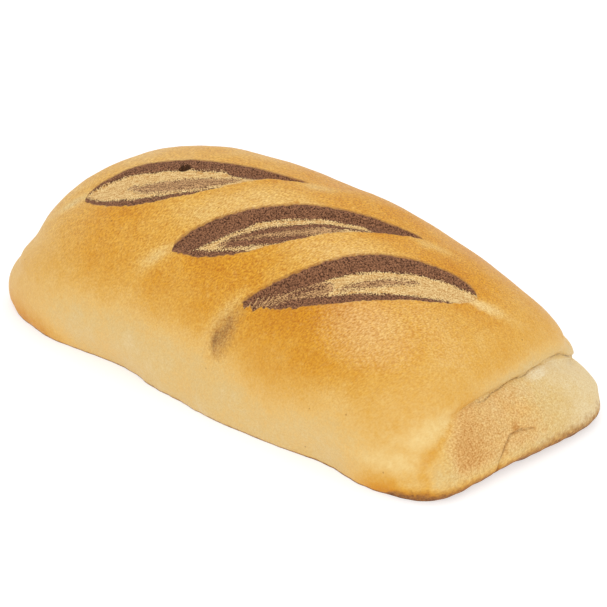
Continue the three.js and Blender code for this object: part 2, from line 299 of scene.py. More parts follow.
@dataclass(frozen=True)
class Slash:
    """A slanting cut across the crown that opened in the oven, with the streaks of crumb in it.

    Its edges are ragged, coarsely and finely. Where its tail is torn, it has teeth and leaning strands too.
    """

    tail: tuple[float, float]
    head: tuple[float, float]
    near: Bow
    far: Bow
    streaks: tuple[Streak, ...] = ()
    depth: float = 2.6
    near_depth: float = 0.9
    near_wall: float = 0.9
    far_wall: float = 0.3
    deepest: float = 0.7
    least_width: float = 1.0
    rim: Hump = Hump(0, 2.6, 0.45)
    margin: float = 8.0
    ragged: float = 0.6
    ragged_size: float = 3.1
    fine_share: float = 0.6
    fine_size: float = 1.2
    fine_shift: float = 7.0
    torn: float = 0.0
    tooth_size: float = 1.3
    tooth_shift: float = 0.4
    tooth_fade: Ramp = Ramp(0.35, -0.15)
    strand_step: float = 2.6
    strand_lean: float = 0.63
    strand_fade: Ramp = Ramp(0.22, -0.14)
    strand_inset: Ramp = Ramp(0.8, 1.6)
    strand_bite: float = 1.5
    hole_depth: float = 1.6

    def length(self) -> float:
        """Length from tip to tip in mm."""
        return math.dist(self.tail, self.head)

    def place(self, points: Array) -> tuple[Array, Array]:
        """Where each point lies along and across the slash.

        Args:
            points: places in mm, one row each.

        Returns:
            Place along it from 0 at the tail to 1 at the head, and distance across it in mm.
        """
        run = (np.array(self.head) - np.array(self.tail)) / self.length()
        offset = points[:, :2] - np.array(self.tail)
        return offset @ run / self.length(), run[0] * offset[:, 1] - run[1] * offset[:, 0]

    def edges(self, points: Array) -> tuple[Array, Array, Array]:
        """Where each point lies between the two edges.

        Args:
            points: places in mm.

        Returns:
            Place along the slash, distance inside the near edge, and distance inside the far edge, in mm.
        """
        along, across = self.place(points)
        past = np.maximum(np.maximum(-along, along - 1), 0) * self.length()
        return along, across + self.near.at(along) - past, self.far.at(along) - across - past

    def relief(self, points: Array) -> tuple[Array, Array]:
        """How deep the open slash lies under the crust, and how far inside its outline.

        Args:
            points: places in mm.

        Returns:
            Depth in mm, less than 0 on the raised rim, and distance inside the outline in mm.
        """
        along, near, far = self.edges(points)
        close = np.flatnonzero(np.minimum(near, far) > -self.margin)
        frayed, teeth = np.zeros(len(points)), np.zeros(len(points))
        fine = self.fine_share * grain(points[close], self.fine_size, self.fine_shift)
        frayed[close] = self.ragged * (grain(points[close], self.ragged_size) + fine)
        tail = np.stack([along[close] * self.length(), 0 * close, 0 * close], axis=1)
        teeth[close] = self.torn * grain(tail, self.tooth_size, self.tooth_shift)
        near, far = near + frayed + teeth * self.tooth_fade.at(along), far + frayed
        width = np.maximum(near + far, self.least_width)
        floor = between(self.near_depth, self.depth, ease(near / width / self.deepest))
        walls = ease(near / self.near_wall) * ease(far / width / self.far_wall)
        inside = np.minimum(near, far)
        depth = floor * walls * lens(along) * (inside > 0)
        depth = depth + self.hole_depth * ease(self.layers(points)[Layer.HOLE])
        return depth - self.rim.at(near) * (near < 0) * lens(along), inside

    def layers(self, points: Array) -> dict[Layer, Array]:
        """How far inside each layer of crumb each point is.

        Args:
            points: places in mm, one row each.

        Returns:
            Distance in mm to the edge of each layer, less than 0 outside.
        """
        along, near, far = self.edges(points)
        distance = {Line.NEAR: near, Line.FAR: far, Line.TIPS: self.place(points)[1]}
        found = {layer: np.full(len(points), OUTSIDE) for layer in Layer}
        for streak in self.streaks:
            gap = streak.gap(along, distance[streak.line])
            found[streak.layer] = np.maximum(found[streak.layer], gap)
        turn = 2 * math.pi / self.strand_step
        strands = 1 + np.sin(turn * (along * self.length() - self.strand_lean * distance[Line.TIPS]))
        pulled = self.torn * strands * self.strand_fade.at(along) * self.strand_inset.at(far)
        found[Layer.DARK] -= self.strand_bite * pulled
        found[Layer.MIDDLE] -= pulled
        return found


SLASHES = (
    Slash((-98.8, -34.2), (4.6, 7.2), Bow(11.8, 0.46, end=0.85, sliver=6.2), Bow(12.4, 0.28, sliver=0.5), (
        Streak(Layer.DARK, Line.FAR, -0.02, 0.8, 12.6, taper=0.9),
        Streak(Layer.DARK, Line.TIPS, 0.58, 1.08, 13.5, 6.0, -1.5, taper=0.9),
        Streak(Layer.DARK, Line.NEAR, -0.03, 0.68, 8.6, taper=0.5),
        Streak(Layer.MIDDLE, Line.TIPS, 0.23, 0.72, 11.0, -4.0, -4.5, -2.5, taper=0.6),
        Streak(Layer.MIDDLE, Line.TIPS, 0.2, 0.25, 2.6, -2.2, -2.2),
        # a pit in the dark rye: sunk, and painted dark as its shade
        Streak(Layer.HOLE, Line.TIPS, 0.395, 0.45, 3.6, 6.9, 6.9),
    )),
    Slash((-25.5, -47.8), (65.1, 16.2), Bow(16.3, 0.45), Bow(2.4, 0.17, sliver=3.8), (
        Streak(Layer.DARK, Line.FAR, -0.1, 1.05, 12.6, taper=0.25),
        Streak(Layer.DARK, Line.TIPS, -0.2, 0.4, 8.8, -1.0, 1.2, taper=1.0),
        Streak(Layer.DARK, Line.TIPS, 0.77, 1.06, 16.0, 0.0, -2.0),
        Streak(Layer.DARK, Line.NEAR, -0.05, 0.36, 6.4, taper=0.8),
        Streak(Layer.DARK, Line.TIPS, 0.22, 0.84, 3.8, -5.6, -6.6, taper=0.6),
        Streak(Layer.DARK, Line.TIPS, 0.22, 0.6, 4.4, -7.0, -14.6, -1.6),
        Streak(Layer.MIDDLE, Line.TIPS, 0.19, 0.7, 10.0, -6.5, -9.5, -1.0),
    )),
    Slash((24.2, -54.4), (101.3, 11.2), Bow(19.8, 0.57, taper=0.75), Bow(7.6, 0.75, start=0.25, sliver=0.4), (
        Streak(Layer.DARK, Line.FAR, 0.02, 1.0, 15.0, taper=0.45),
        Streak(Layer.DARK, Line.TIPS, -0.2, 0.34, 8.0, -0.5, -3.0, taper=0.8),
        Streak(Layer.DARK, Line.TIPS, 0.19, 0.36, 2.0, -6.6, -8.4),
        Streak(Layer.DARK, Line.NEAR, -0.05, 0.92, 9.0, taper=0.5),
        Streak(Layer.MIDDLE, Line.TIPS, -0.1, 0.4, 15.0, -3.0, -10.0),
        Streak(Layer.MIDDLE, Line.TIPS, 0.42, 0.76, 5.0, -11.5, -3.5, -1.0),
    ), torn=1.7),
)


@dataclass(frozen=True)
class LoafForm:
    """Outer form of the loaf: rounded slices in plan, one for each level.

    A square is the power of a slice's outline: 2 is an ellipse, and more is squarer. Directions in the plan
    are in degrees, from 0 at the near end.
    """

    width: float = 137.0
    height: float = 85.5
    sides: Profile = Profile(68.5, 12.5, 73, 60, 1.82)
    lip: Profile = Profile(127.8, 32.5, 53.0, math.inf, 1.78)
    tongue: Profile = Profile(145, 6.5, 52, 26, 1.95)
    far_lip: Profile = Profile(136.5, 26.0, 59.5, math.inf, 2.1)
    far_foot: Profile = Profile(145, 6, 42, 30, 2.2)
    foot_half: float = 67.0
    near_left_square: float = 6.5
    near_right_square: float = 6.8
    far_square: float = 4.1
    crown_square: float = 2.65
    crown_rise: Ramp = Ramp(0, 75)
    tongue_left_square: float = 8.0
    tongue_right_square: float = 5.8
    tongue_top_square: float = 3.2
    far_foot_square: float = 4.9
    lip_skew: float = 0.04
    lip_curl: float = 1.8
    far_curl: float = 4.0
    curl_height: float = 4.0
    valley_base: float = -30.0
    valley_lip: float = -13.0
    valley_soft: float = 9.0
    right_edge: float = 45.0
    right_soft: float = 20.0
    far_shown: Ramp = Ramp(125, 25)
    foot_sink: float = 0.03
    roll: Hump = Hump(-3, 8, 0.045)
    roll_fade: Ramp = Ramp(46, -46)
    lip_join: float = 0.4
    corner_join: float = 9.0
    corner_turn: Ramp = Ramp(12, 9)
    far_join: float = 16.0
    far_turn: Ramp = Ramp(-0.4, -0.5)
    join_end: float = 0.35
    crease_lowest: float = 22.0
    shoulder: float = 50.0
    core_reach: float = 75.0
    core_level: float = 25.0
    puff: float = 0.8
    slack: float = 2.2
    slack_along: Ramp = Ramp(40, 50)
    slack_across: Ramp = Ramp(0, 40)
    sink_depth: float = 2.4
    sink_width: float = 18.0
    sink_tail: Ramp = Ramp(-0.55, 0.55)
    sink_head: Ramp = Ramp(1.25, -0.25)
    below_crowding: float = 1.12
    above_crowding: float = 1.1
    groove_depth: float = 0.8
    groove_half: float = 0.5
    groove_left: Ramp = Ramp(-11, 4)
    groove_right: Ramp = Ramp(27, -4)
    groove_waves: tuple[tuple[float, float, float], ...] = ((0.6, 0.42, 1.0), (0.25, 1.1, 0.0))
    groove_step: Ramp = Ramp(6, 2.5)
    groove_climb: float = 1.4
    groove_drop: float = 0.6
    front_waves: tuple[Hump, ...] = (
        Hump(-108, 16, 0.6), Hump(-72, 14, 1.6), Hump(-46, 24, 5.4), Hump(20, 18, -1.6),
        Hump(86, 20, 4.6), Hump(130, 14, -2),
    )
    back_waves: tuple[Hump, ...] = (Hump(-70, 26, 3), Hump(5, 22, -1.5), Hump(72, 24, 3.2))
    wave_fade: Ramp = Ramp(22, -22)
    wave_depth: float = 30.0
    end_waves: tuple[Hump, ...] = (Hump(-50, 11, 1.9), Hump(-10, 12, -1.2))
    end_fade: Ramp = Ramp(10, -10)
    crag: float = 1.0
    crag_size: float = 6.5
    crag_fade: Ramp = Ramp(5, -5)
    corner_folds: tuple[Hump, ...] = (Hump(3.2, 3, 2.2), Hump(-3, 2.4, -3.8), Hump(-9.5, 4.5, 2.4))
    corner_shown: Hump = Hump(26, 10)
    crack_path: tuple[tuple[float, float], ...] = (
        (-23.0, -2.0), (-21.0, 8.0), (-16.0, 13.0), (-11.5, 16.0), (-5.0, 16.0), (2.0, 14.5),
    )
    crack_depth: float = 1.7
    crack_half: float = 0.8
    crack_fade: float = 0.15

    def plan_radius(self, angle: Array, half_length: Array, half_width: Array, square: Array) -> Array:
        """Distance from the middle to a rounded rectangle, along a direction of the plan.

        Args:
            angle: directions in the plan, in radians.
            half_length: half of the rectangle's length in mm.
            half_width: half of its width in mm.
            square: power of its outline.

        Returns:
            Distance in mm for each direction.
        """
        along = np.abs(np.cos(angle)) / np.maximum(half_length, THIN)
        across = np.abs(np.sin(angle)) / np.maximum(half_width, THIN)
        return (along**square + across**square) ** (-1 / square)

    def valley(self, level: Array) -> Array:
        """Plan angle in degrees of the valley at the tongue's left edge, which leans as it climbs."""
        return between(self.valley_base, self.valley_lip, np.minimum(1, level / self.lip.widest))

    def tongue_shown(self, degrees: Array, level: Array) -> Array:
        """How far the tongue shows: 1 over the end face, 0 along the sides."""
        left = ease((degrees - self.valley(level)) / self.valley_soft + 0.5)
        return left * ease((self.right_edge - degrees) / self.right_soft + 0.5)

    def dome(self, angle: Array, level: Array) -> Array:
        """Radius of the risen dome, with its lip at each end.

        Args:
            angle: directions in the plan, in radians.
            level: levels in mm.

        Returns:
            Radius in mm at each place.
        """
        near = np.cos(angle) > 0
        degrees = np.degrees(angle)
        near_square = np.where(np.sin(angle) < 0, self.near_left_square, self.near_right_square)
        base_square = np.where(near, near_square, self.far_square)
        square = between(base_square, self.crown_square, self.crown_rise.at(level))
        near_reach = self.lip.at(level) * (1 - self.lip_skew * np.sin(angle))
        curl = np.where(near, self.lip_curl * self.tongue_shown(degrees, level), self.far_curl)
        lip_level = np.where(near, self.lip.widest, self.far_lip.widest)
        reach = np.where(near, near_reach, self.far_lip.at(level))
        reach = reach - curl * ease((lip_level - level) / self.curl_height)
        radius = self.plan_radius(angle, reach, self.sides.at(level), square)
        roll = self.roll.at(degrees - self.valley(level)) * self.roll_fade.at(level)
        return radius * np.where(near, 1 + roll, 1)

    def foot(self, angle: Array, level: Array) -> Array:
        """Radius of the tongue at the near end and of the foot at the far end.

        Args:
            angle: directions in the plan, in radians.
            level: levels in mm.

        Returns:
            Radius in mm at each place.
        """
        near = np.cos(angle) > 0
        degrees = np.degrees(angle)
        right = between(self.tongue_right_square, self.tongue_top_square, ease(level / self.lip.widest))
        near_square = np.where(np.sin(angle) < 0, self.tongue_left_square, right)
        reach = np.where(near, self.tongue.at(level), self.far_foot.at(level))
        half = self.foot_half * self.sides.at(level) / self.sides.reach
        shown = np.where(near, self.tongue_shown(degrees, level), self.far_shown.at(np.abs(degrees)))
        radius = self.plan_radius(angle, reach, half, np.where(near, near_square, self.far_foot_square))
        return radius * (1 - self.foot_sink * (1 - shown))

    def join(self, angle: Array) -> Array:
        """Radius of the join between dome and foot, all round the plan.

        Args:
            angle: directions in the plan, in radians.

        Returns:
            Radius in mm for each direction.
        """
        corner = self.corner_turn.at(np.abs(np.degrees(angle)))
        near = between(self.lip_join, self.corner_join, corner)
        return between(near, self.far_join, self.far_turn.at(np.cos(angle)))

    def skin(self, angle: Array, level: Array) -> Array:
        """Radius of dome and foot together, with a sharp crease under the lip and a soft join elsewhere.

        Args:
            angle: directions in the plan, in radians.
            level: levels in mm.

        Returns:
            Radius in mm at each place.
        """
        dome, foot, join = self.dome(angle, level), self.foot(angle, level), self.join(angle)
        overlap = np.maximum(join - np.abs(dome - foot), 0)
        ends = ease(np.abs(np.cos(angle)) / self.join_end)
        return np.maximum(dome, foot) + ends * overlap * overlap / (4 * join)

    def crown_height(self, plan: Array) -> Array:
        """Level of the crown over each point of the plan."""
        angle, distance = bearing(plan), np.hypot(plan[:, 0], plan[:, 1])
        return halve(self.shoulder, self.height, len(plan), lambda level: self.skin(angle, level) > distance)

    def crease_level(self, angle: Array) -> Array:
        """Level of the crease under the lip, up to which the foot stands out past the dome."""
        return halve(self.crease_lowest, self.lip.widest, len(angle),
                     lambda level: self.foot(angle, level) > self.dome(angle, level))

    def groove(self, angle: Array, level: Array, crease: Array) -> Array:
        """Depth of the narrow groove where the lip closes on the tongue, which wanders along the crease.

        Args:
            angle: directions in the plan, in radians.
            level: levels in mm.
            crease: level of the crease at each place, in mm.

        Returns:
            Depth in mm at each place.
        """
        degrees = np.degrees(angle)
        shown = self.groove_left.at(degrees) * self.groove_right.at(degrees)
        wander = sum(height * np.sin(degrees * rate + shift) for height, rate, shift in self.groove_waves)
        wander = wander + self.groove_climb * self.groove_step.at(degrees) - self.groove_drop
        return self.groove_depth * bell(level - crease - wander, self.groove_half) * shown

    def crack(self, points: Array) -> Array:
        """Depth of the folded crack that climbs the tongue from a notch in its base and turns right.

        Args:
            points: places in mm, one row each.

        Returns:
            Depth in mm at each place.
        """
        place = points[:, 1:3]
        depth = np.zeros(len(points))
        corners = np.array(self.crack_path)
        for index, (start, end) in enumerate(zip(corners, corners[1:])):
            run = end - start
            share = np.clip((place - start) @ run / (run @ run), 0, 1)
            gap = np.linalg.norm(place - start - share[:, None] * run, axis=1)
            shallow = 1 - self.crack_fade * (index + share) / (len(corners) - 1)
            depth = np.maximum(depth, self.crack_depth * shallow * bell(gap, self.crack_half))
        return depth * (points[:, 0] > self.core_reach)

    def swell(self, points: Array) -> Array:
        """How far the crust stands out: puffed over the crown, sunk along the slashes and at their tails.

        Args:
            points: places in mm, one row each.

        Returns:
            Distance in mm, less than 0 where the crust is sunk.
        """
        x, y, level = points.T
        sunk = np.zeros(len(points))
        for slash in SLASHES:
            along, across = slash.place(points)
            middle = (slash.far.at(along) - slash.near.at(along)) / 2
            ends = self.sink_tail.at(along) * self.sink_head.at(along)
            sunk += ends * bell(across - middle, self.sink_width)
        slack = self.slack * self.slack_along.at(x) * self.slack_across.at(y)
        puffed = (self.puff - slack) * ease(level / self.shoulder)
        return puffed - self.sink_depth * sunk * ease(level / self.core_level)

    def folds(self, angle: Array, above: Array) -> Array:
        """How far the near right corner stands out: full above the crease, pinched along it, full below."""
        return sum(fold.at(above) for fold in self.corner_folds) * self.corner_shown.at(np.degrees(angle))

    def spread(self, points: Array) -> Array:
        """Places with an uneven base line: drawn in and swollen in turn, and craggy at the very edge.

        Args:
            points: places on the even loaf, in mm.

        Returns:
            The same places, moved level.
        """
        moved = points.copy()
        x, y, level = points.T
        for side, waves in ((-1, self.front_waves), (1, self.back_waves)):
            outer = ease((side * y - self.foot_half + self.wave_depth) / self.wave_depth)
            for wave in waves:
                moved[:, 1] -= side * wave.at(x) * outer * self.wave_fade.at(level)
        end = ease((x - self.core_reach) / self.wave_depth) * self.end_fade.at(level)
        for wave in self.end_waves:
            moved[:, 0] += wave.at(y) * end
        edge = np.flatnonzero(level < self.crag_fade.start)
        lumps = self.crag * grain(points[edge], self.crag_size) * self.crag_fade.at(level[edge])
        radius = np.maximum(np.hypot(x[edge], y[edge]), self.wave_depth)
        moved[edge, :2] *= (1 + lumps / radius)[:, None]
        return moved

    def outward(self, points: Array) -> Array:
        """Unit direction away from the core line, in which crust swells and crumb sinks.

        Args:
            points: places in mm, one row each.

        Returns:
            One direction for each place.
        """
        core = np.zeros_like(points)
        core[:, 0] = np.clip(points[:, 0], -self.core_reach, self.core_reach)
        core[:, 2] = self.core_level
        away = points - core
        return away / np.linalg.norm(away, axis=1, keepdims=True)

    def plain(self, block: Array) -> Array:
        """Smooth loaf for points of a block that reaches from -1 to 1.

        Args:
            block: points on the faces of the block.

        Returns:
            The same points on the loaf, in mm: the block's sides become the loaf's sides up to the
            shoulder, its top the crown and its bottom the flat base.
        """
        rim = np.max(np.abs(block[:, :2]), axis=1)
        angle = np.arctan2(block[:, 1] * self.width, block[:, 0] * 2 * self.tongue.reach)
        crease = self.crease_level(angle)
        height = block[:, 2]
        below = between(crease, 0.0, np.clip(-height, 0, 1) ** self.below_crowding)
        above = between(crease, self.shoulder, np.clip(height, 0, 1) ** self.above_crowding)
        level = np.where(height < 0, below, above)
        radius = self.skin(angle, level) - self.groove(angle, level, crease)
        radius = np.where(np.abs(height) > 1 - TINY, radius * rim, radius)
        points = np.stack([radius * np.cos(angle), radius * np.sin(angle), level], axis=1)
        inner = np.flatnonzero((height > 1 - TINY) & (rim < 1 - TINY))
        points[inner, 2] = self.crown_height(points[inner])
        upper = np.flatnonzero(height > -1 + TINY)
        change = self.swell(points[upper]) - self.crack(points[upper])
        change += self.folds(angle[upper], level[upper] - crease[upper])
        points[upper] += self.outward(points[upper]) * change[:, None]
        return self.spread(points)


def add_node(tree: bpy.types.NodeTree, kind: str, inputs: dict | None = None, out: str | int = 0,
             **settings: Any) -> Socket:
    """Add one shader node with its settings and links.

    Args:
        tree: node tree of the material.
        kind: node type, without its ShaderNode prefix.
        inputs: socket name or number to a value, or to the output socket that feeds it.
        out: name or number of the wanted output.
        settings: properties of the node.

    Returns:
        The wanted output of the new node.
    """
    node = tree.nodes.new("ShaderNode" + kind)
    for name, value in settings.items():
        setattr(node, name, value)
    for name, value in (inputs or {}).items():
        if isinstance(value, Socket):
            tree.links.new(value, node.inputs[name])
        else:
            node.inputs[name].default_value = value
    return node.outputs[out]


@dataclass(frozen=True)
class Oven:
    """What shaping and baking did at each place, and where light and shade are painted: how brown the crust
    is, and how it is marked.

    A bake of 0 is pale dough and 1 is deep gold. A turn is the direction out of the core line in degrees: 0
    is level and 90 straight up. Sizes are in mm.
    """

    form: LoafForm
    low_bake: float = 0.26
    shoulder_bake: float = 0.8
    shoulder_turn: Ramp = Ramp(-6, 28)
    front_drop: Hump = Hump(52, 34, 9)
    crown_bake: float = 0.82
    crown_far_bake: float = 0.62
    crown_turn: Ramp = Ramp(34, 32)
    crown_along: Ramp = Ramp(-60, 80)
    crown_across: Ramp = Ramp(-14, 18)
    # painted sheen: the near side of the crown, over the pillows, is made paler
    pillow_bake: float = 0.5
    near_end_bake: float = 0.6
    near_end: Ramp = Ramp(85, 42)
    far_end_bake: float = 0.54
    far_end: Ramp = Ramp(-62, -42)
    end_share: float = 0.85
    patches: tuple[Spot, ...] = (Spot(103, 12, 20, 20, 0.1), Spot(-35, -38, 15, 15, -0.12))
    edge_bake: Hump = Hump(0, 7, 0.16)
    edge_inset: float = 2.0
    edge_tail: Ramp = Ramp(0, 0.15)
    edge_head: Ramp = Ramp(1, -0.2)
    tail_stretch: Spot = Spot(-6, 1.5, 9, 3, 0.36)
    head_stretch: Spot = Spot(5, -3, 9, 4, 0.36)
    ridge_bake: Hump = Hump(0, 1, 0.25)
    ridge_fade: float = 8.0
    ridge_base: float = -23.0
    ridge_lip: float = -14.0
    ridge_climb: Ramp = Ramp(14, 18)
    # painted highlight on the roll of crust at the near left corner
    roll_bake: Spot = Spot(-4, 21, 3.5, 9, 0.1)
    toasts: tuple[Spot, ...] = (Spot(122, 0, 20, 7, 0.42), Spot(-112, 0, 34, 9, 0.42))
    lip_bake: Hump = Hump(0, 7, -0.36)
    lip_left: Ramp = Ramp(-12, 10)
    lip_right: Ramp = Ramp(31, -8)
    tongue_left_bake: float = 0.26
    tongue_right_bake: float = 0.02
    tongue_across: Ramp = Ramp(8, 32)
    tongue_right: Ramp = Ramp(48, -22)
    tongue_sharp: float = 2.0
    tongue_soft: float = 12.0
    tongue_softens: Ramp = Ramp(20, 14)
    tongue_over: float = 1.0
    foot_bake: float = 0.6
    foot_fade: Ramp = Ramp(8.5, -7)
    halo: Hump = Hump(0, 1.1)
    halo_inset: float = 0.3
    halo_near: Ramp = Ramp(0, 3)
    swirl_step: float = 40.0
    smears: tuple[Spot, ...] = (Spot(-5.5, -3.8, 7, 5), Spot(-10.4, -2.3, 1.8, 1.9, 0.7))
    smear_level: Ramp = Ramp(22, 10)
    smear_grit: float = 0.6
    stretch: Spot = Spot(2, -4.2, 9, 4)
    patch_left: Ramp = Ramp(-53, 11)
    patch_right: Ramp = Ramp(28, -34)
    patch_foot: Ramp = Ramp(4, 9)
    patch_top: Ramp = Ramp(34, -6)
    patch_deepest: Hump = Hump(-38, 12, 0.35)
    patch_grit: float = 0.5
    tongue_grit: float = 0.35
    # where the painted highlight lobes lie on the near left roll
    roll_across: Hump = Hump(-4, 5.5)
    roll_upper: Hump = Hump(26, 6)
    roll_lower: Hump = Hump(15, 5, 0.9)
    spot: Spot = Spot(-8, 18, 3.2, 3.2)
    # a whitish band just under the crease, on the tongue
    flour: Spot = Spot(20, 1.5, 11, 2.2)
    rim_start: float = 0.2
    rim_height: float = 1.3
    rim_tongue_left: float = 11.0
    rim_tongue_right: float = 16.0
    rim_across: Ramp = Ramp(-30, 50)
    wrinkled_low: float = 0.2
    wrinkled_turn: Ramp = Ramp(-5, 45)
    smooth_end: float = 0.4
    # Where painted glints lie: pale light painted where the wrinkles would catch it.
    fleck_shoulder: Spot = Spot(88, -42, 34, 20)
    fleck_pillows: Hump = Hump(-24, 20, 0.65)
    fleck_along: Ramp = Ramp(-60, 60)
    fleck_level: Ramp = Ramp(30, 20)
    fleck_crown: float = 0.4
    fleck_top: Ramp = Ramp(55, 20)

    def turn(self, points: Array) -> Array:
        """Direction of each place out of the core line, in degrees."""
        return np.degrees(np.arcsin(np.clip(self.form.outward(points)[:, 2], -1, 1)))

    def browning(self, points: Array) -> Array:
        """Bake of the crust from its direction: pale low on the sides, deep at the shoulders, and paler over
        the near side of the crown, where a sheen is painted.

        Args:
            points: places in mm, one row each.

        Returns:
            Bake at each place.
        """
        x, y, _ = points.T
        turn = self.turn(points)
        side = self.shoulder_turn.at(turn + self.front_drop.at(x))
        ridge = between(self.crown_far_bake, self.crown_bake, self.crown_along.at(x))
        # the near side of the crown takes the paler pillow bake: a painted sheen
        top = between(self.pillow_bake, ridge, self.crown_across.at(y))
        bake = between(between(self.low_bake, self.shoulder_bake, side), top, self.crown_turn.at(turn))
        bake = between(bake, self.near_end_bake, self.end_share * self.near_end.at(x))
        bake = between(bake, self.far_end_bake, self.end_share * self.far_end.at(x))
        return bake + sum(patch.at(x, y) for patch in self.patches)

    def edges(self, points: Array) -> Array:
        """Change of bake round the slashes: deeper under the near edges, pale where the crust stretched.

        Args:
            points: places in mm, one row each.

        Returns:
            Change of bake at each place.
        """
        change = np.zeros(len(points))
        for slash in SLASHES:
            along, across = slash.place(points)
            _, near, _ = slash.edges(points)
            body = self.edge_tail.at(along) * self.edge_head.at(along)
            change += self.edge_bake.at(np.minimum(near + self.edge_inset, 0)) * (near < 0) * body
            change -= self.tail_stretch.at(along * slash.length(), across)
            change -= self.head_stretch.at((along - 1) * slash.length(), across)
        return change

    def corner(self, points: Array) -> Array:
        """Change of bake at the base corners of the front and at the near left corner.

        The base is toasted there, and at the near left a painted highlight lies on the roll of crust beside a
        browned ridge.

        Args:
            points: places in mm, one row each.

        Returns:
            Change of bake at each place.
        """
        x, y, level = points.T
        off_ridge = self.off_ridge(points)
        low = ease((self.form.lip.widest - level) / self.ridge_fade)
        toast = sum(spot.at(x, level) for spot in self.toasts) * (y < 0)
        return self.ridge_bake.at(off_ridge) * low - self.roll_bake.at(off_ridge, level) + toast

    def off_ridge(self, points: Array) -> Array:
        """Degrees in the plan from the browned ridge beside the tongue."""
        ridge = between(self.ridge_base, self.ridge_lip, self.ridge_climb.at(points[:, 2]))
        return np.degrees(bearing(points)) - ridge

    def lip(self, points: Array) -> Array:
        """Change of bake along the lip's edge, which is paler just over the crease.

        Args:
            points: places in mm, one row each.

        Returns:
            Change of bake at each place.
        """
        angle = bearing(points)
        over = points[:, 2] - self.form.crease_level(angle)
        degrees = np.degrees(angle)
        return self.lip_bake.at(over) * self.lip_left.at(degrees) * self.lip_right.at(degrees) * (over > 0)

    def tongue(self, points: Array) -> Array:
        """How far each place belongs to the tongue.

        Args:
            points: places in mm, one row each.

        Returns:
            Share from 0 to 1 at each place.
        """
        angle, level = bearing(points), points[:, 2]
        foot = self.form.foot(angle, level) - self.form.dome(angle, level)
        degrees = np.degrees(angle)
        shown = self.form.tongue_shown(degrees, level) * (np.cos(angle) > 0) * self.tongue_right.at(degrees)
        soft = between(self.tongue_sharp, self.tongue_soft, self.tongue_softens.at(degrees))
        return ease(0.5 + foot / soft) * shown * (level < self.form.lip.widest + self.tongue_over)

    def marks(self, points: Array) -> dict[str, Array]:
        """Strength from 0 to 1 of each mark on the crust.

        Args:
            points: places in mm, before the slashes sink.

        Returns:
            The marks by name.
        """
        _, y, level = points.T
        angle = bearing(points)
        tongue = self.tongue(points)
        torn = SLASHES[-1]
        along, across = torn.place(points)
        smear = sum(spot.at(along * torn.length(), across) for spot in self.smears)
        smear = smear * self.smear_level.at(level)
        crease = self.form.crease_level(angle)
        patch = self.patch_left.at(y) * self.patch_right.at(y) * (1 + self.patch_deepest.at(y))
        patch = patch * self.patch_foot.at(level) * self.patch_top.at(level)
        # painted highlight in two lobes on the near left roll
        roll = np.maximum(self.roll_upper.at(level), self.roll_lower.at(level))
        roll = roll * self.roll_across.at(self.off_ridge(points))
        tongue_rim = between(self.rim_tongue_left, self.rim_tongue_right, self.rim_across.at(y))
        rim = (level - self.rim_start) / between(self.rim_height, tongue_rim, tongue)
        # strength of the light and shade painted on wrinkles and grain
        crust_grit = self.wrinkled(points) + self.smear_grit * smear
        return {
            "smear": smear,
            "stretch": self.stretch.at((along - 1) * torn.length(), across),
            # painted shade in the crease groove, as strong as the groove is deep
            "crease": self.form.groove(angle, level, crease) / self.form.groove_depth,
            "patch": tongue * patch,
            "spot": tongue * self.spot.at(y, level),
            # painted shade along the crack, as strong as the crack is deep
            "crack": self.form.crack(points) / self.form.crack_depth,
            "rim": 1 - ease(rim),
            "fleck": self.flecked(points) * (1 - tongue),
            "roll": roll * (1 - tongue),
            "flour": tongue * self.flour.at(y, crease - level),
            # painted light and shade of wrinkles and grain: on the crust, the grainy smear and the tongue's
            # patch
            "grit": between(crust_grit, self.tongue_grit + self.patch_grit * patch, tongue),
        }

    def wrinkled(self, points: Array) -> Array:
        """How strongly fine wrinkles and pores show in the crust, with light and shade painted on them: most
        on the crown, least low down.
        """
        upper = between(self.wrinkled_low, 1.0, self.wrinkled_turn.at(self.turn(points)))
        return upper * (1 - self.smooth_end * self.near_end.at(points[:, 0]))

    def flecked(self, points: Array) -> Array:
        """How far painted glints show: pale light painted where fine wrinkles would catch it, most on the
        front shoulder and the pillows.

        Args:
            points: places in mm, one row each.

        Returns:
            Strength from 0 to 1 at each place.
        """
        x, y, level = points.T
        pillows = self.fleck_pillows.at(y) * self.fleck_along.at(x)
        sides = np.maximum(self.fleck_shoulder.at(x, y), pillows) * self.fleck_level.at(level)
        # a weaker painted sheen over the whole crown
        return np.maximum(sides, self.fleck_crown * self.fleck_top.at(level))

    def attributes(self, points: Array) -> dict[str, Array]:
        """All that the finish reads, by attribute name.

        Args:
            points: places in mm, before the slashes sink.

        Returns:
            One value for each place under each name.
        """
        count = len(points)
        edge, halo, strand = np.full(count, OUTSIDE), np.zeros(count), np.zeros((count, 3))
        layers = {layer: np.full(count, OUTSIDE) for layer in Layer}
        for index, slash in enumerate(SLASHES):
            _, inside = slash.relief(points)
            here = inside > edge
            edge = np.where(here, inside, edge)
            along, near, far = slash.edges(points)
            fringe = self.halo.at(np.minimum(far + self.halo_inset, 0)) * self.halo_near.at(near)
            halo = np.maximum(halo, fringe)
            across, apart = slash.place(points)[1], np.full(count, self.swirl_step * index)
            swirl = np.stack([along * slash.length(), across, apart], axis=1)
            strand = np.where(here[:, None], swirl, strand)
            for layer, gap in slash.layers(points).items():
                layers[layer] = np.where(here, gap, layers[layer])
        tongue = self.tongue(points)
        crust = self.browning(points) + self.edges(points) + self.lip(points)
        pale = between(self.tongue_left_bake, self.tongue_right_bake, self.tongue_across.at(points[:, 1]))
        pale = pale + self.foot_bake * self.foot_fade.at(points[:, 2])
        return {
            "slash_edge": edge, "strand": strand, "tongue": tongue, "halo": halo,
            "bake": between(crust, pale, tongue) + self.corner(points),
            **{layer.value: gap for layer, gap in layers.items()},
            **self.marks(points),
        }


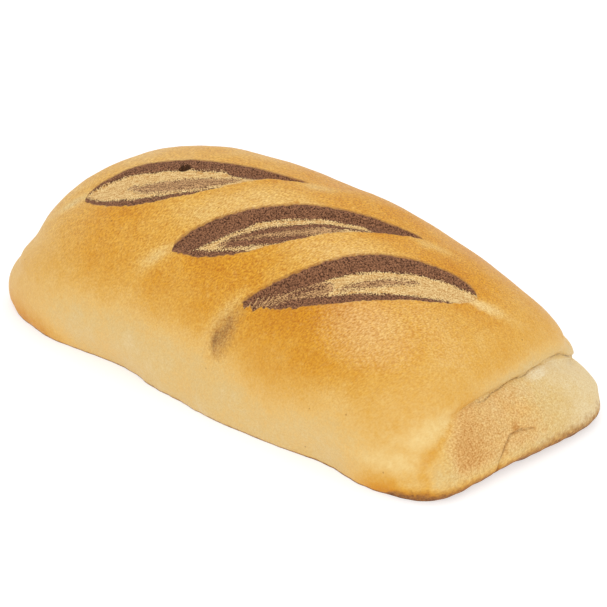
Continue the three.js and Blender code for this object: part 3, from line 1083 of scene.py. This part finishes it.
@dataclass(frozen=True)
class Mark:
    """A stain, or a painted highlight or shade, on the crust: where an attribute and a grain of a size in mm
    together pass a range.
    """

    name: str
    colour: str
    grain: float
    low: float
    high: float
    strength: float = 1.0


@dataclass(frozen=True)
class Rye:
    """A layer of rye: colours of its dough and its grains, and how far its edge wanders and blurs in mm."""

    layer: Layer
    dough: str
    grains: str
    wander: float
    blur: float


@dataclass(frozen=True)
class BreadFinish:
    """Baked bread: a thin glossy crust browned by sugar and heat, over a matt, open crumb.

    The eye sees gold that deepens where the heat was strongest, a soft sheen broken by fine wrinkles, and
    grainy rye crumb where the slashes opened. Part of the sheen is painted into the colour: glints, pale
    pillows and a highlight on the near left roll, with light and shade painted on the wrinkles.
    """

    crust: tuple[tuple[float, str], ...] = (
        (0.0, "#e6ce9d"), (0.25, "#debc7a"), (0.45, "#e4b766"), (0.65, "#dea747"), (0.85, "#d79525"),
        (1.0, "#cf8816"),
    )
    marks: tuple[Mark, ...] = (
        Mark("halo", "#a8702f", 1.2, 0.95, 1.5, 0.8),
        # painted glints: pale light painted where fine wrinkles would catch it
        Mark("fleck", "#f3cf98", 0.9, 1.0, 1.6, 0.4),
        Mark("patch", "#dfa964", 3.0, 0.9, 2.2),
        Mark("patch", "#c48a42", 0.7, 1.5, 1.85, 0.5),
        # painted highlight on the near left roll of crust
        Mark("roll", "#f4d896", 3.0, 0.6, 1.7, 0.75),
        # whitish band painted on the tongue just under the crease
        Mark("flour", "#efe2c2", 1.6, 0.9, 1.6, 0.6),
        Mark("spot", "#bf8238", 1.1, 0.9, 1.7),
        # painted shade in the crack's fold
        Mark("crack", "#9a6c38", 1.6, 1.0, 1.6, 0.7),
        Mark("stretch", "#f0cd88", 2.0, 0.8, 1.5, 0.85),
        Mark("smear", "#b98846", 2.0, 0.65, 1.4, 0.85),
        Mark("smear", "#7d5628", 0.9, 1.3, 1.7, 0.6),
        Mark("rim", "#a8702f", 2.2, 0.85, 1.4, 0.9),
        Mark("rim", "#6e421f", 1.6, 1.2, 1.62, 0.9),
        # painted shade along the crease under the lip
        Mark("crease", "#967345", 1.5, 1.1, 1.6, 0.8),
    )
    wheat: str = "#c99048"
    wheat_grain: str = "#fbdc9c"
    rye: tuple[Rye, ...] = (
        Rye(Layer.MIDDLE, "#643c22", "#e2b27a", 4.0, 1.4),
        Rye(Layer.DARK, "#402315", "#aa7653", 3.4, 0.8),
        # a pit in the crumb, painted dark as its shade
        Rye(Layer.HOLE, "#3a2214", "#5b3a20", 1.0, 0.4),
    )
    speck: str = "#9a6426"
    speck_spacing: float = 9.0
    speck_rarity: float = 0.62
    speck_core: float = 0.035
    speck_edge: float = 0.06
    speck_strength: float = 0.55
    crust_roughness: float = 0.45
    tongue_roughness: float = 0.62
    crumb_roughness: float = 0.9
    gloss: float = 0.25
    mottling: tuple[tuple[float, float], ...] = ((22.0, 0.07), (5.0, 0.04), (1.3, 0.05))
    mark_detail: float = 4.0
    wrinkle_size: float = 0.65
    # tints for painted shade in the wrinkles' hollows and painted highlight on their raised parts
    wrinkle_low: Colour = (0.77, 0.6, 0.36, 1.0)
    wrinkle_high: Colour = (1.23, 1.4, 1.64, 1.0)
    wrinkle_run: tuple[float, float, float] = (0.46, 0.76, 0.45)
    wrinkle_stretch: float = 0.5
    wrinkle_relief: float = 0.1
    crumb_size: float = 0.65
    crumb_detail: float = 3.0
    crumb_relief: float = 0.6
    fray: float = 0.9
    fray_low: float = 0.3
    fray_high: float = 0.8
    strand_grain: tuple[float, float, float] = (9.0, 1.6, 1.0)
    strand_detail: float = 4.0
    strand_count: float = 2.0
    strand_shade: float = 0.3

    def material(self) -> bpy.types.Material:
        """Build the shader.

        Returns:
            A material that reads the loaf's own attributes and Object coordinates.
        """
        material = bpy.data.materials.new("baked_rye_bread")
        material.use_nodes = True
        tree = material.node_tree
        tree.nodes.clear()
        add = partial(add_node, tree)
        place = add("TexCoord", out="Object")
        edge = add("Attribute", out="Fac", attribute_name="slash_edge")
        tongue = add("Attribute", out="Fac", attribute_name="tongue")
        crumbs = 1 / (self.crumb_size * MM)
        frayed = add("TexNoise", {"Vector": place, "Scale": crumbs})
        frayed = add("Math", {0: frayed, 1: self.fray, 2: edge}, operation="MULTIPLY_ADD")
        opened = add("MapRange", {"Value": frayed, "From Min": self.fray_low, "From Max": self.fray_high})
        grainy = add("TexNoise", {"Vector": place, "Scale": crumbs, "Detail": self.crumb_detail})
        wrinkle = self.wrinkles(add, place)
        crust, crumb = self.crust_colour(add, place, wrinkle), self.crumb_colour(add, grainy)
        colour = add("Mix", {FACTOR: opened, FROM: crust, TO: crumb}, COLOUR, data_type="RGBA")
        rough = add("MapRange", {
            "Value": tongue, "To Min": self.crust_roughness, "To Max": self.tongue_roughness,
        })
        rough = add("Mix", {FACTOR: opened, LOW: rough, HIGH: self.crumb_roughness})
        shader = add("BsdfPrincipled", {
            "Base Color": colour, "Roughness": rough, "Specular IOR Level": self.gloss,
            "Normal": self.relief(add, opened, wrinkle, grainy),
        })
        tree.links.new(shader, tree.nodes.new("ShaderNodeOutputMaterial").inputs["Surface"])
        return material

    def wrinkles(self, add: Adder, place: Socket) -> Socket:
        """Fine wrinkles that run up over the shoulder, from 0 to 1: drawn about twice too coarse, to show.

        Args:
            add: adds a node to the material's tree.
            place: Object coordinates.

        Returns:
            Their height.
        """
        run = add("VectorMath", {0: place, 1: self.wrinkle_run}, "Value", operation="DOT_PRODUCT")
        along = add("VectorMath", {0: self.wrinkle_run, "Scale": run}, operation="SCALE")
        back = add("VectorMath", {0: along, "Scale": -self.wrinkle_stretch}, operation="SCALE")
        drawn = add("VectorMath", {0: place, 1: back}, operation="ADD")
        fine = add("TexNoise", {"Vector": drawn, "Scale": 1 / (self.wrinkle_size * MM)})
        return add("MapRange", {"Value": fine, **NOISE_SPAN})

    def crust_colour(self, add: Adder, place: Socket, wrinkle: Socket) -> Socket:
        """Crust browned by its bake and mottled, with marks, a few dark specks, and wrinkles painted paler
        where they rise and browner in their hollows.

        Args:
            add: adds a node to the material's tree.
            place: Object coordinates.
            wrinkle: height of the wrinkles, from 0 to 1.

        Returns:
            Colour of the crust.
        """
        bake = add("Attribute", out="Fac", attribute_name="bake")
        for size, strength in self.mottling:
            uneven = add("TexNoise", {"Vector": place, "Scale": 1 / (size * MM)})
            part = add("MapRange", {"Value": uneven, **NOISE_SPAN, "To Min": -strength, "To Max": strength})
            bake = add("Math", {0: bake, 1: part}, operation="ADD")
        colour = add("ValToRGB", {"Fac": bake})
        stops = colour.node.color_ramp.elements
        while len(stops) < len(self.crust):
            stops.new(0.5)
        for stop, (at, shade) in zip(stops, self.crust):
            stop.position = at
            stop.color = linear(shade)
        stains = [(self.stain(add, place, mark), mark.colour) for mark in self.marks]
        stains.append((self.specks(add, place), self.speck))
        for share, tint in stains:
            colour = add("Mix", {FACTOR: share, FROM: colour, TO: linear(tint)}, COLOUR, data_type="RGBA")
        grit = add("Attribute", out="Fac", attribute_name="grit")
        # painted light and shade of the wrinkles: paler where they rise, browner in their hollows
        shade = add("Mix", {
            FACTOR: wrinkle, FROM: self.wrinkle_low, TO: self.wrinkle_high,
        }, COLOUR, data_type="RGBA")
        return add("Mix", {
            FACTOR: grit, FROM: colour, TO: shade,
        }, COLOUR, data_type="RGBA", blend_type="MULTIPLY")

    def stain(self, add: Adder, place: Socket, mark: Mark) -> Socket:
        """Share of the crust that a mark covers, broken up by its grain.

        Args:
            add: adds a node to the material's tree.
            place: Object coordinates.
            mark: the mark and its range.

        Returns:
            The share, from 0 to the mark's strength.
        """
        strength = add("Attribute", out="Fac", attribute_name=mark.name)
        grainy = add("TexNoise", {
            "Vector": place, "Scale": 1 / (mark.grain * MM), "Detail": self.mark_detail,
        })
        marked = add("Math", {0: strength, 1: grainy}, operation="ADD")
        return add("MapRange", {
            "Value": marked, "From Min": mark.low, "From Max": mark.high, "To Max": mark.strength,
        })

    def specks(self, add: Adder, place: Socket) -> Socket:
        """Share of the crust that dark specks cover: a dot in some of the cells that it is parted into.

        Args:
            add: adds a node to the material's tree.
            place: Object coordinates.

        Returns:
            The share, from 0 to the specks' strength.
        """
        cells = add("TexVoronoi", {"Vector": place, "Scale": 1 / (self.speck_spacing * MM)}).node.outputs
        chosen = add("Math", {0: cells["Color"], 1: self.speck_rarity}, operation="GREATER_THAN")
        dots = add("MapRange", {
            "Value": cells["Distance"], "From Min": self.speck_core, "From Max": self.speck_edge,
            "To Min": self.speck_strength, "To Max": 0.0,
        })
        return add("Math", {0: dots, 1: chosen}, operation="MULTIPLY")

    def crumb_colour(self, add: Adder, grainy: Socket) -> Socket:
        """Swirled crumb: grainy wheat dough with layers of rye, strands in the wheat and middling rye, and a
        pit painted dark as its shade.

        Args:
            add: adds a node to the material's tree.
            grainy: grain of the crumb, from 0 to 1.

        Returns:
            Colour of the crumb.
        """
        grainy = add("MapRange", {"Value": grainy, **CRUMB_SPAN})
        speckle = add("MapRange", {"Value": grainy, "To Min": 1.0, "To Max": -1.0})
        strand = add("Attribute", out="Vector", attribute_name="strand")
        strand = add("VectorMath", {0: strand, 1: self.strand_grain}, operation="DIVIDE")
        wander = add("TexNoise", {"Vector": strand, "Scale": 1.0, "Detail": self.strand_detail})
        pulled = add("TexNoise", {"Vector": strand, "Scale": self.strand_count})
        pulled = add("MapRange", {
            "Value": pulled, **CRUMB_SPAN, "To Min": -self.strand_shade, "To Max": self.strand_shade,
        })
        pulled = add("Math", {0: grainy, 1: pulled}, operation="ADD")
        colour = add("Mix", {
            FACTOR: pulled, FROM: linear(self.wheat), TO: linear(self.wheat_grain),
        }, COLOUR, data_type="RGBA")
        for rye in self.rye:
            texture = pulled if rye.layer is Layer.MIDDLE else grainy
            shade = add("Mix", {
                FACTOR: texture, FROM: linear(rye.dough), TO: linear(rye.grains),
            }, COLOUR, data_type="RGBA")
            gap = add("Attribute", out="Fac", attribute_name=rye.layer.value)
            for uneven, reach in ((wander, rye.wander), (speckle, rye.blur)):
                gap = add("Math", {0: uneven, 1: reach, 2: gap}, operation="MULTIPLY_ADD")
            low, high = (rye.wander - rye.blur) / 2, (rye.wander + rye.blur) / 2
            inside = add("MapRange", {"Value": gap, "From Min": low, "From Max": high})
            colour = add("Mix", {FACTOR: inside, FROM: colour, TO: shade}, COLOUR, data_type="RGBA")
        return colour

    def relief(self, add: Adder, opened: Socket, wrinkle: Socket, grainy: Socket) -> Socket:
        """Fine relief that is smaller than the mesh: wrinkles in the crust and open grain in the crumb.

        Args:
            add: adds a node to the material's tree.
            opened: 0 in the crust and 1 in the open crumb.
            wrinkle: height of the wrinkles, from 0 to 1.
            grainy: grain of the crumb, from 0 to 1.

        Returns:
            Normal for the shader.
        """
        height = add("Mix", {FACTOR: opened, LOW: wrinkle, HIGH: grainy})
        distance = add("MapRange", {
            "Value": opened, "To Min": self.wrinkle_relief * MM, "To Max": self.crumb_relief * MM,
        })
        return add("Bump", {"Height": height, "Distance": distance, "Strength": 1.0})


@dataclass
class Loaf:
    """The whole loaf as one skin: shaped from a block, refined at the slashes and the near end, and baked."""

    form: LoafForm = field(default_factory=LoafForm)
    finish: BreadFinish = field(default_factory=BreadFinish)
    steps: dict[Along, int] = field(default_factory=lambda: {
        Along.LENGTH: 150, Along.WIDTH: 74, Along.HEIGHT: 36,
    })
    slash_margin: float = 3.6
    slash_cuts: int = 3
    slash_drop: float = 12.0
    relief_drop: float = 14.0
    end_cuts: int = 2
    end_angle: float = 40.0
    end_base: float = 0.01
    end_level: float = 43.0
    risen_level: float = 12.0
    risen_steps: int = 10
    lumps: tuple[tuple[str, float, float], ...] = (("rise", 38.0, 1.6), ("dimple", 11.0, 0.45))

    def build(self) -> Piece:
        """Model the loaf and dress it.

        Returns:
            The finished piece, riding on the loaf's body.
        """
        piece = self.block()
        self.refine(piece)
        points = self.shape(piece)
        self.describe(piece, points)
        self.uneven(piece)
        piece.data.materials.append(self.finish.material())
        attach(piece, "root")
        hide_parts("loaf")
        return piece

    def block(self) -> Piece:
        """Add a block and cut its edges into even steps, one direction at a time.

        Returns:
            The block, cut into small faces.
        """
        bpy.ops.object.select_all(action="DESELECT")
        bpy.ops.mesh.primitive_cube_add(size=2)
        piece = bpy.context.object
        piece.name = "marble_rye_loaf"
        piece.data.name = piece.name
        bpy.ops.object.mode_set(mode="EDIT")
        bpy.ops.mesh.select_mode(type="EDGE")
        for along, count in self.steps.items():
            bpy.ops.mesh.select_all(action="DESELECT")
            mesh = bmesh.from_edit_mesh(piece.data)
            for edge in mesh.edges:
                run = edge.verts[1].co - edge.verts[0].co
                edge.select_set(abs(run[along.value]) > PARALLEL * run.length)
            bmesh.update_edit_mesh(piece.data)
            bpy.ops.mesh.subdivide(number_cuts=count - 1)
        bpy.ops.object.mode_set(mode="OBJECT")
        return piece

    def vertices(self, piece: Piece) -> Array:
        """Places of all vertices.

        Args:
            piece: the loaf.

        Returns:
            One row for each vertex, in the units of the mesh.
        """
        places = np.empty(len(piece.data.vertices) * 3)
        piece.data.vertices.foreach_get("co", places)
        return places.reshape(-1, 3)

    def refine(self, piece: Piece) -> None:
        """Cut the faces finer where the near end folds or a slash opens.

        Args:
            piece: the block, cut into even faces.
        """
        for cuts, wanted in ((self.end_cuts, self.near_end), (self.slash_cuts, self.near_slash)):
            middles = np.empty(len(piece.data.polygons) * 3)
            piece.data.polygons.foreach_get("center", middles)
            chosen = wanted(self.form.plain(middles.reshape(-1, 3)))
            bpy.ops.object.mode_set(mode="EDIT")
            bpy.ops.mesh.select_mode(type="FACE")
            bpy.ops.mesh.select_all(action="DESELECT")
            bpy.ops.object.mode_set(mode="OBJECT")
            piece.data.polygons.foreach_set("select", chosen)
            bpy.ops.object.mode_set(mode="EDIT")
            bpy.ops.mesh.subdivide(number_cuts=cuts, ngon=False)
            bpy.ops.object.mode_set(mode="OBJECT")

    def near_slash(self, points: Array) -> Array:
        """Which points are in a slash or close to its edge.

        Args:
            points: places in mm, one row each.

        Returns:
            Whether each point is.
        """
        gaps = []
        for slash in SLASHES:
            _, near, far = slash.edges(points)
            gaps.append(np.minimum(near, far))
        high = points[:, 2] > self.form.shoulder - self.slash_drop
        return (np.max(gaps, axis=0) > -self.slash_margin) & high

    def near_end(self, points: Array) -> Array:
        """Which points are on the folded near end.

        Args:
            points: places in mm, one row each.

        Returns:
            Whether each point is.
        """
        angle = np.degrees(bearing(points))
        level = points[:, 2]
        return (np.abs(angle) < self.end_angle) & (level > self.end_base) & (level < self.end_level)

    def shape(self, piece: Piece) -> Array:
        """Move the block's vertices to the loaf.

        Args:
            piece: the block, cut into small faces.

        Returns:
            The loaf's points in mm, before the slashes sink.
        """
        plain = self.form.plain(self.vertices(piece))
        points = plain.copy()
        top = np.flatnonzero(plain[:, 2] > self.form.shoulder - self.relief_drop)
        outward = self.form.outward(plain[top])
        for slash in SLASHES:
            depth, _ = slash.relief(plain[top])
            points[top] -= outward * depth[:, None]
        middle = (points.min(axis=0) + points.max(axis=0)) / 2
        middle[2] = 0.0
        piece.data.vertices.foreach_set("co", ((points - middle) * MM).ravel())
        bpy.ops.object.select_all(action="DESELECT")
        piece.select_set(True)
        bpy.context.view_layer.objects.active = piece
        bpy.ops.object.shade_smooth()
        return plain

    def describe(self, piece: Piece, points: Array) -> None:
        """Write what the oven did at each vertex, and where light and shade are painted, as attributes that
        the finish reads.

        Args:
            piece: the loaf.
            points: its places in mm, before the slashes sink.
        """
        for name, value in Oven(self.form).attributes(points).items():
            kind, field_name = ("FLOAT_VECTOR", "vector") if value.ndim == 2 else ("FLOAT", "value")
            attribute = piece.data.attributes.new(name, kind, "POINT")
            attribute.data.foreach_set(field_name, value.astype(np.float32).ravel())

    def uneven(self, piece: Piece) -> None:
        """Make the dough uneven, as hand-shaped and risen dough is, but leave the base flat.

        Args:
            piece: the loaf.
        """
        group = piece.vertex_groups.new(name="risen")
        level = self.vertices(piece)[:, 2] / MM
        risen = np.round(ease(level / self.risen_level) * self.risen_steps)
        for step in range(1, self.risen_steps + 1):
            group.add(np.flatnonzero(risen == step).tolist(), step / self.risen_steps, "REPLACE")
        for name, size, strength in self.lumps:
            texture = bpy.data.textures.new(name, "CLOUDS")
            texture.noise_scale = size * MM
            modifier = piece.modifiers.new(name, "DISPLACE")
            modifier.texture = texture
            modifier.texture_coords = "LOCAL"
            modifier.vertex_group = group.name
            modifier.strength = strength * MM
            modifier.mid_level = 0.5
            bpy.ops.object.modifier_apply(modifier=name)


@dataclass(frozen=True)
class Softbox:
    """A square lamp that faces the loaf: angles in degrees, distance and size in metres, power in watts."""

    name: str
    azimuth: float
    elevation: float
    away: float
    size: float
    power: float


@dataclass
class Studio:
    """Pale floor, soft white light all round, and a camera at the picture's angle."""

    azimuth: float = 45.2
    elevation: float = 24.75
    distance: float = 1300.0
    target: tuple[float, float, float] = (0.0, 0.0, 30.0)
    aim_right: float = 5.8
    aim_down: float = 3.7
    lens: float = 172.7
    sensor: float = 36.0
    floor_size: float = 6.0
    floor_colour: str = "#c6c6c6"
    floor_roughness: float = 0.9
    floor_glow: float = 0.57
    sky_glow: float = 0.81
    lamps: tuple[Softbox, ...] = (
        Softbox("front_softbox", 46.0, 40.0, 1.8, 1.4, 6.0),
        Softbox("overhead_softbox", 200.0, 72.0, 1.7, 1.6, 5.0),
    )

    def build(self) -> None:
        """Set the floor, the lights and the camera."""
        bpy.context.scene.view_settings.view_transform = "Standard"
        self.floor()
        self.sky()
        for lamp in self.lamps:
            self.light(lamp)
        self.camera()

    def back(self, azimuth: float, elevation: float) -> Vector:
        """Unit direction from the object to a viewer at an azimuth and elevation in degrees."""
        a, e = math.radians(azimuth), math.radians(elevation)
        return Vector((math.sin(a) * math.cos(e), -math.cos(a) * math.cos(e), math.sin(e)))

    def hang(self, name: str, data: bpy.types.ID, place: Vector, turn: Quaternion) -> Piece:
        """Put a lamp or a camera in the scene.

        Args:
            name: name of the new object.
            data: the lamp or the camera.
            place: where it hangs, in metres.
            turn: which way it faces.

        Returns:
            The new object, in the scene.
        """
        hung = bpy.data.objects.new(name, data)
        hung.location = place
        hung.rotation_mode = "QUATERNION"
        hung.rotation_quaternion = turn
        bpy.context.scene.collection.objects.link(hung)
        return hung

    def floor(self) -> None:
        """Lay a wide pale floor under the loaf."""
        bpy.ops.object.select_all(action="DESELECT")
        bpy.ops.mesh.primitive_plane_add(size=self.floor_size)
        floor = bpy.context.object
        floor.name = "floor"
        material = bpy.data.materials.new("pale_matt_floor")
        material.use_nodes = True
        looks = {
            "Base Color": linear(self.floor_colour), "Roughness": self.floor_roughness,
            "Specular IOR Level": 0.0, "Emission Color": WHITE, "Emission Strength": self.floor_glow,
        }
        for name, value in looks.items():
            material.node_tree.nodes["Principled BSDF"].inputs[name].default_value = value
        floor.data.materials.append(material)

    def sky(self) -> None:
        """Surround the scene with even white light."""
        world = bpy.data.worlds.new("white_room")
        world.use_nodes = True
        world.node_tree.nodes["Background"].inputs["Color"].default_value = WHITE
        world.node_tree.nodes["Background"].inputs["Strength"].default_value = self.sky_glow
        bpy.context.scene.world = world

    def light(self, lamp: Softbox) -> None:
        """Hang a softbox that faces the loaf.

        Args:
            lamp: the softbox and its place.
        """
        light = bpy.data.lights.new(lamp.name, "AREA")
        light.shape = "SQUARE"
        light.size = lamp.size
        light.energy = lamp.power
        back = self.back(lamp.azimuth, lamp.elevation)
        self.hang(lamp.name, light, back * lamp.away, (-back).to_track_quat("-Z", "Y"))

    def camera(self) -> None:
        """Place the camera at the picture's angle and make it the scene's own."""
        lens_data = bpy.data.cameras.new("camera")
        lens_data.lens = self.lens
        lens_data.sensor_width = self.sensor
        back = self.back(self.azimuth, self.elevation)
        turn = (-back).to_track_quat("-Z", "Y")
        aim = Vector(self.target) + turn @ Vector((self.aim_right, -self.aim_down, 0.0))
        camera = self.hang("camera", lens_data, (aim + back * self.distance) * MM, turn)
        bpy.context.scene.camera = camera


def main() -> None:
    """Build the loaf and its studio, and report each piece."""
    logging.basicConfig(level=logging.INFO, format="%(name)s: %(message)s")
    loaf = Loaf().build()
    LOG.info("%s: %d faces", loaf.name, len(loaf.data.polygons))
    Studio().build()
    LOG.info("studio is set")


if __name__ == "__main__":
    main()
